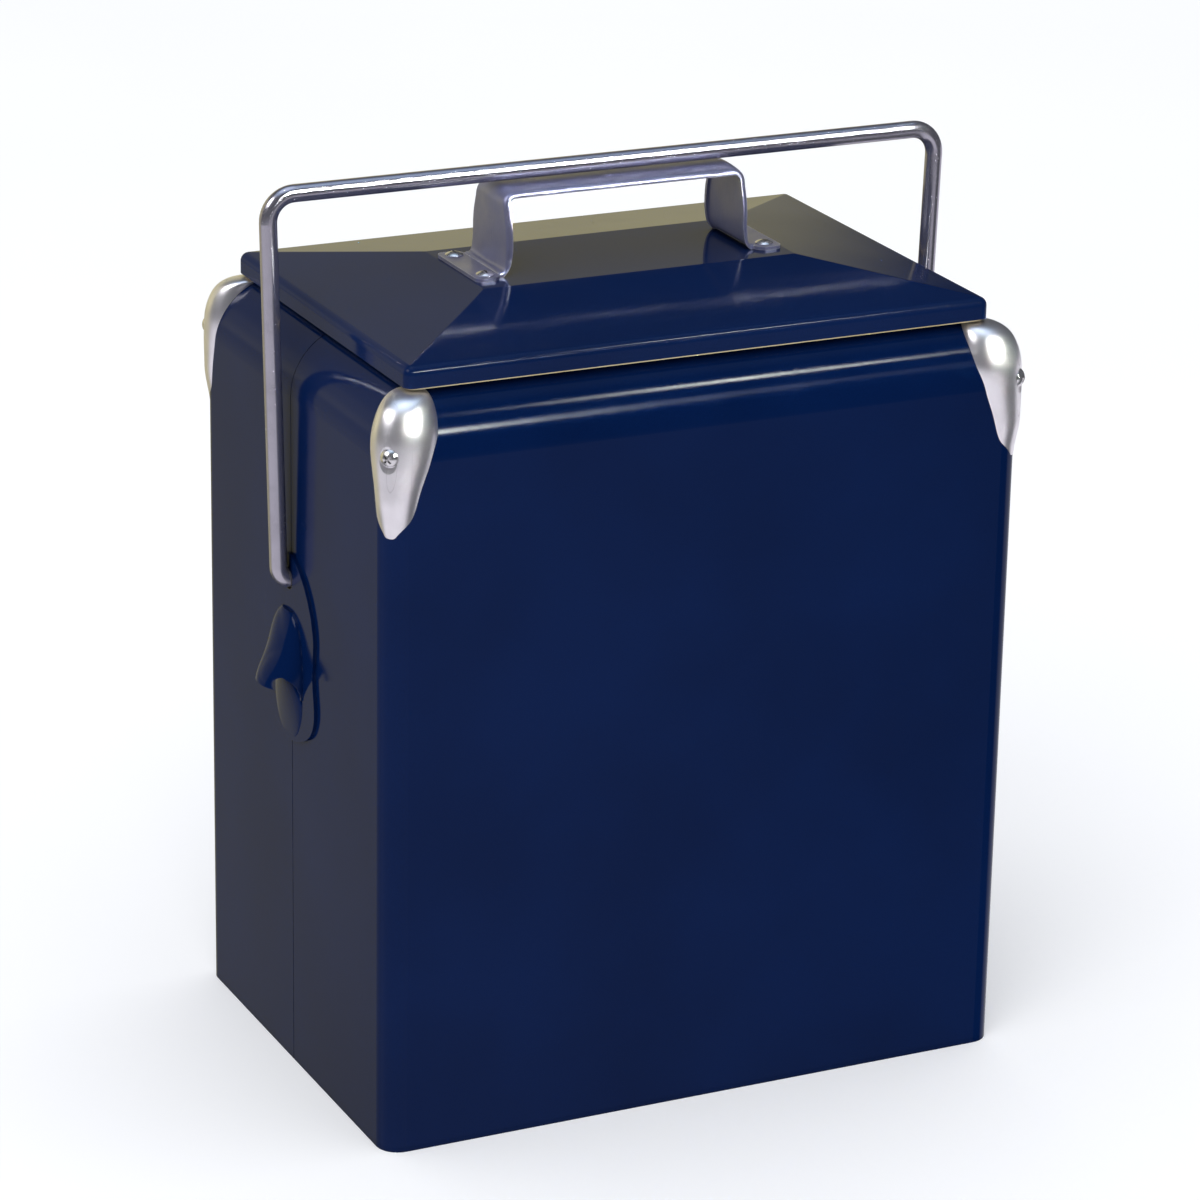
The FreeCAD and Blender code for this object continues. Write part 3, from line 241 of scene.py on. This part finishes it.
def satin_chrome(name, colour, rough, grain=(1.0, 1.0, 0.18)):
    """Plated pressing: faint polishing grain, wipe marks, a few hair scratches, and painted shade that
    darkens the hollows.
    """
    made, s = new_material(name)
    at, along = s.coords(), s.coords(grain)
    cloud = s.span(s.noise(at, 60.0, 4.0, 0.6), 0.35, 0.7)
    tone = s.mix(s.times(cloud, 0.5), colour, scaled(colour, 0.86))
    lines = s.noise(along, 1500.0, 2.0, 0.6)
    scratch = s.scratches(s.coords((1.0, 0.8, 0.22), (0.0, 0.35, 0.2)), 120.0, 0.012, 0.48)
    tone = s.mix(s.times(scratch, 0.35), tone, (0.42, 0.40, 0.44))
    # Painted shade: ambient occlusion darkens the tone in hollows, round the screw heads and where parts
    # meet.
    open_sky = s.node("AmbientOcclusion", "AO", settings={"samples": 4}, Distance=0.004)
    tone = s.mix(s.span(open_sky, 0.15, 0.75, 0.55, 0.0), tone, (0.16, 0.15, 0.15))
    roughness = s.add(s.add(s.times(cloud, 0.07), rough), s.times(scratch, 0.12))
    shell = s.bump(s.noise(at, 110.0, 1.0), 0.00003)
    fine = s.bump(lines, 0.0000022, shell)
    normal = s.bump(scratch, -0.000004, fine)
    s.surface(Base_Color=tone, Metallic=0.90, Roughness=roughness, Normal=normal)
    return made


def drawn_rod(name, colour, rough, bar_low):
    """Drawn and polished wire: lines run along the bar above bar_low, and down the legs below it."""
    made, s = new_material(name)
    height = s.node("SeparateXYZ", "Z", Vector=s.node("TexCoord", "Object"))
    is_bar = s.span(height, bar_low - 0.004, bar_low + 0.002)
    along_bar = s.noise(s.coords((0.03, 1.0, 1.0)), 1100.0, 3.0, 0.65)
    along_leg = s.noise(s.coords((1.0, 1.0, 0.03)), 1100.0, 3.0, 0.65)
    lines = s.add(s.times(along_bar, is_bar), s.times(along_leg, s.math("SUBTRACT", 1.0, is_bar)))
    at = s.coords()
    wear = s.span(s.noise(at, 75.0, 5.0, 0.65), 0.42, 0.72)
    nick = s.span(s.cells(at, 240.0), 0.04, 0.10, 1.0, 0.0)
    tone = s.mix(s.times(wear, 0.4), colour, scaled(colour, 0.82))
    tone = s.mix(s.times(nick, 0.5), tone, (0.35, 0.33, 0.34))
    roughness = s.add(s.add(s.times(wear, 0.08), rough), s.times(lines, 0.06))
    normal = s.bump(nick, -0.00001, s.bump(lines, 0.000006))
    s.surface(Base_Color=tone, Metallic=0.86, Roughness=roughness, Normal=normal)
    return made


def brushed_strap(name, colour, rough):
    """Bent aluminium strip: brushing along its length, hammered unevenness from forming, hand wear, and a
    painted highlight along its edges.
    """
    made, s = new_material(name)
    at = s.coords()
    brush = s.noise(s.coords((0.05, 1.0, 0.05)), 1400.0, 3.0, 0.7)
    cloud = s.span(s.noise(at, 48.0, 5.0, 0.62), 0.35, 0.7)
    tint = s.mix(cloud, colour, (colour[0] * 0.86, colour[1] * 0.90, colour[2] * 1.02))
    tone = s.mix(s.span(brush, 0.35, 0.7, 0.0, 0.25), tint, scaled(colour, 0.7))
    # Painted highlight: every bent edge of the strip is made lighter, as if it catches the light.
    painted_edge_highlight = s.times(s.edges(0.0006), 0.7)
    tone = s.mix(painted_edge_highlight, tone, (0.92, 0.91, 0.92))
    scratch = s.scratches(s.coords((0.25, 1.0, 0.6), (0.0, 0.3, 0.15)), 150.0, 0.014, 0.5)
    roughness = s.add(s.add(s.times(cloud, 0.09), rough), s.times(scratch, 0.1))
    formed = s.bump(s.noise(at, 150.0, 2.0), 0.00005)
    normal = s.bump(scratch, -0.000004, s.bump(brush, 0.000007, formed))
    s.surface(Base_Color=tone, Metallic=0.60, Roughness=roughness, Normal=normal)
    return made


def zinc(name, colour, rough):
    """Zinc plated steel: large spangles of slightly different tone, dull spots."""
    made, s = new_material(name)
    at = s.coords()
    spangle = s.node("TexVoronoi", "Color", Vector=at, Scale=420.0)
    grey = s.span(s.node("SeparateColor", "Red", Color=spangle), 0.0, 1.0, 0.80, 1.15)
    tone = s.mix(1.0, colour, grey, "MULTIPLY")
    dull = s.span(s.noise(at, 90.0, 4.0), 0.45, 0.7)
    tone = s.mix(s.times(dull, 0.45), tone, (0.36, 0.36, 0.35))
    roughness = s.add(s.times(grey, 0.10), s.add(s.times(dull, 0.18), rough))
    normal = s.bump(s.noise(at, 700.0, 3.0), 0.00001)
    s.surface(Base_Color=tone, Metallic=1.0, Roughness=roughness, Normal=normal)
    return made


def moulded_plastic(name, colour, rough, aged, scuff):
    """Moulded plastic: fine spark texture, slow yellowing towards aged, scuffs of a lighter tone."""
    made, s = new_material(name)
    at = s.coords()
    age = s.span(s.noise(at, 7.0, 4.0, 0.6), 0.35, 0.68)
    tone = s.mix(age, colour, aged)
    rubbed = s.times(s.edges(0.0012), s.span(s.noise(at, 200.0, 3.0), 0.4, 0.65))
    tone = s.mix(s.times(rubbed, 0.35), tone, scuff)
    mark = s.scratches(s.coords((1.0, 1.0, 0.3), (0.3, 0.2, 0.0)), 60.0, 0.010, 0.45)
    tone = s.mix(s.times(mark, 0.3), tone, scuff)
    grain = s.noise(at, 1600.0, 2.0)
    roughness = s.add(s.add(s.times(age, 0.06), rough), s.times(mark, 0.15))
    normal = s.bump(s.noise(at, 30.0, 2.0), 0.0001, s.bump(grain, 0.000012))
    s.surface(Base_Color=tone, Roughness=roughness, IOR=1.46, Normal=normal)
    return made


def rubber(name, colour):
    """Extruded soft rubber: dusty bloom, fine pores."""
    made, s = new_material(name)
    at = s.coords()
    bloom = s.span(s.noise(at, 55.0, 5.0, 0.65), 0.42, 0.72)
    tone = s.mix(s.times(bloom, 0.5), colour, tuple(channel + 0.09 for channel in colour))
    pore = s.cells(at, 1500.0)
    roughness = s.add(0.62, s.times(bloom, 0.2))
    s.surface(Base_Color=tone, Roughness=roughness, Normal=s.bump(pore, 0.00003))
    return made


def foam(name, colour):
    """Rigid insulating foam: open cells, crumbly darker spots, sun-browned skin."""
    made, s = new_material(name)
    at = s.coords()
    cell = s.cells(at, 800.0)
    coarse = s.noise(at, 160.0, 4.0, 0.7)
    tan = s.span(s.noise(at, 16.0, 4.0), 0.4, 0.7)
    tone = s.mix(tan, colour, (colour[0] * 0.9, colour[1] * 0.78, colour[2] * 0.6))
    tone = s.mix(s.span(cell, 0.15, 0.6, 0.0, 0.35), tone, scaled(colour, 0.6))
    normal = s.bump(coarse, 0.0003, s.bump(cell, 0.00025))
    s.surface(Base_Color=tone, Roughness=s.span(coarse, 0.3, 0.7, 0.78, 0.95), Normal=normal)
    return made


def finishes():
    """One material for each slot of the record."""
    bar_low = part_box("bail_handle")[1].z - BAR_DEPTH
    return {
        "body_paint": paint("body_enamel", NAVY),
        "lid_paint": paint("lid_enamel", LID_NAVY, 0.08),
        "plate_paint": paint("plate_enamel", NAVY, 0.09),
        "pan_paint": paint("pan_enamel", (0.008, 0.014, 0.040), 0.28),
        "cap_metal": satin_chrome("cap_chrome", (0.93, 0.90, 0.96), 0.29),
        "screw_metal": satin_chrome("screw_chrome", (0.84, 0.82, 0.86), 0.17, (1.0, 1.0, 1.0)),
        "bail_metal": drawn_rod("bail_chrome", (0.46, 0.44, 0.52), 0.17, bar_low),
        "strap_metal": brushed_strap("strap_aluminium", (0.25, 0.25, 0.37), 0.30),
        "zinc_steel": zinc("zinc_steel", (0.60, 0.61, 0.63), 0.26),
        "bushing_plastic": moulded_plastic(
            "bushing_black", (0.012, 0.012, 0.014), 0.38, (0.020, 0.019, 0.018), (0.07, 0.07, 0.07)
        ),
        "liner_plastic": moulded_plastic(
            "liner_white", (0.80, 0.79, 0.74), 0.30, (0.74, 0.70, 0.58), (0.88, 0.87, 0.84)
        ),
        "lid_liner_plastic": moulded_plastic(
            "lid_liner_cream", (0.80, 0.68, 0.42), 0.34, (0.72, 0.56, 0.28), (0.86, 0.78, 0.60)
        ),
        "gasket_rubber": rubber("gasket_grey", (0.09, 0.085, 0.08)),
        "foam": foam("insulating_foam", (0.78, 0.68, 0.40)),
    }


def dress_nodes():
    """Gives every CAD node the material of its slot."""
    by_slot = finishes()
    for part in frame["record"]["subparts"]:
        mesh = NODES[part["node"]].data
        mesh.materials.clear()
        mesh.materials.append(by_slot[part["material_slot"]])


# ---------------------------------------------------------------- studio
def studio_world():
    """A white surround for the eye, even fill for diffuse light, and soft boxes for reflections."""
    world = bpy.data.worlds.new("studio")
    world.use_nodes = True
    world.cycles.sampling_method = "NONE"
    bpy.context.scene.world = world
    s = Shader(world.node_tree)
    towards = s.node("SeparateXYZ", None, Vector=s.node("TexCoord", "Generated"))
    east, north, height = towards.outputs
    azimuth = s.times(s.math("ARCTAN2", east, north), math.degrees(1.0))
    elevation = s.times(s.math("ARCSINE", height), math.degrees(1.0))
    right_half = s.math("GREATER_THAN", azimuth, 0.0)
    turned = s.math("SUBTRACT", azimuth, s.times(right_half, 360.0))

    def window(value, low, high, soft):
        """1 between low and high, 0 outside, with eased ends soft degrees wide."""
        rise = s.span(value, low - soft / 2, low + soft / 2)
        return s.times(rise, s.span(value, high - soft / 2, high + soft / 2, 1.0, 0.0))

    def light(colour, strength, total):
        """total with one more light in it."""
        glow = s.mix(1.0, colour, strength, "MULTIPLY")
        return s.mix(1.0, total, glow, "ADD")

    total = s.mix(1.0, ROOM_TONE, ROOM_GLOW, "MULTIPLY")
    for (start, stop), (low, high), (side_soft, height_soft), colour, strength in STUDIO:
        # A light that runs past straight ahead in front is placed on the turned azimuth, 0 to -360.
        along = turned if start < -180.0 + side_soft else azimuth
        shape = s.times(window(along, start, stop, side_soft), window(elevation, low, high, height_soft))
        total = light(colour, s.times(shape, strength), total)
    for (low, high), colour, strength in (OVERHEAD, ZENITH):
        total = light(colour, s.span(elevation, low, high, 0.0, strength), total)
    ray = s.node("LightPath", None)
    seen = s.node("Background", Color=BACKGROUND, Strength=1.0)
    fill = s.node("Background", Color=FILL_COLOUR, Strength=FILL_STRENGTH)
    mirrored = s.node("Background", Color=total, Strength=1.0)
    lit = s.node("MixShader", None)
    s.put(ray.outputs["Is Glossy Ray"], lit.inputs[0])
    s.put(fill, lit.inputs[1])
    s.put(mirrored, lit.inputs[2])
    shown = s.node("MixShader", None)
    s.put(ray.outputs["Is Camera Ray"], shown.inputs[0])
    s.put(lit.outputs[0], shown.inputs[1])
    s.put(seen, shown.inputs[2])
    s.node("OutputWorld", None, Surface=shown.outputs[0])


def pale_floor():
    """A wide pale disc under the object, which reflections don't see."""
    mesh = bpy.data.meshes.new("floor")
    turns = [math.tau * side / FLOOR_SIDES for side in range(FLOOR_SIDES)]
    rim = [(FLOOR_RADIUS * math.cos(turn), FLOOR_RADIUS * math.sin(turn), CAD_LOW.z) for turn in turns]
    mesh.from_pydata(rim, [], [tuple(range(FLOOR_SIDES))])
    floor = bpy.data.objects.new("floor", mesh)
    bpy.context.scene.collection.objects.link(floor)
    made, s = new_material("floor_paper")
    at = s.coords()
    drift = s.span(s.noise(at, 1.5, 3.0), 0.3, 0.7, 0.99, 1.01)
    tone = s.mix(1.0, FLOOR_COLOUR, drift, "MULTIPLY")
    s.surface(Base_Color=tone, Roughness=0.9, Specular_IOR_Level=0.0,
              Emission_Color=FLOOR_COLOUR, Emission_Strength=FLOOR_GLOW,
              Normal=s.bump(s.noise(at, 900.0, 2.0), 0.00002))
    mesh.materials.append(made)
    floor.visible_glossy = False


def key_light():
    """A large soft box above the front left, for a soft contact shadow."""
    lamp = bpy.data.lights.new("key", "AREA")
    lamp.shape, lamp.size, lamp.energy = "DISK", KEY_SIZE, KEY_POWER
    holder = bpy.data.objects.new("key", lamp)
    holder.location = KEY_PLACE
    aim = (CAD_LOW + CAD_HIGH) / 2 - KEY_PLACE
    holder.rotation_euler = aim.to_track_quat("-Z", "Y").to_euler()
    holder.visible_glossy = False
    bpy.context.scene.collection.objects.link(holder)


def camera():
    """Looks at the object's middle from the front left and a little above."""
    turn, rise = CAMERA_AZIMUTH, CAMERA_ELEVATION
    back = Vector((math.sin(turn) * math.cos(rise), -math.cos(turn) * math.cos(rise), math.sin(rise)))
    level = Vector((math.cos(turn), math.sin(turn), 0.0))
    above = back.cross(level)
    right = level * math.cos(CAMERA_ROLL) + above * math.sin(CAMERA_ROLL)
    up = above * math.cos(CAMERA_ROLL) - level * math.sin(CAMERA_ROLL)
    middle = (CAD_LOW + CAD_HIGH) / 2
    place = middle + back * CAMERA_DISTANCE + right * CAMERA_SHIFT[0] + up * CAMERA_SHIFT[1]
    made = bpy.data.cameras.new("camera")
    made.lens, made.sensor_width = LENS, SENSOR_WIDTH
    made.clip_end = 3 * FLOOR_RADIUS
    holder = bpy.data.objects.new("camera", made)
    facing = Matrix((right, up, back)).transposed().to_4x4()
    holder.matrix_world = Matrix.Translation(place) @ facing
    bpy.context.scene.collection.objects.link(holder)
    bpy.context.scene.camera = holder


dress_nodes()
studio_world()
pale_floor()
key_light()
camera()
bpy.context.scene.view_settings.view_transform = "Standard"
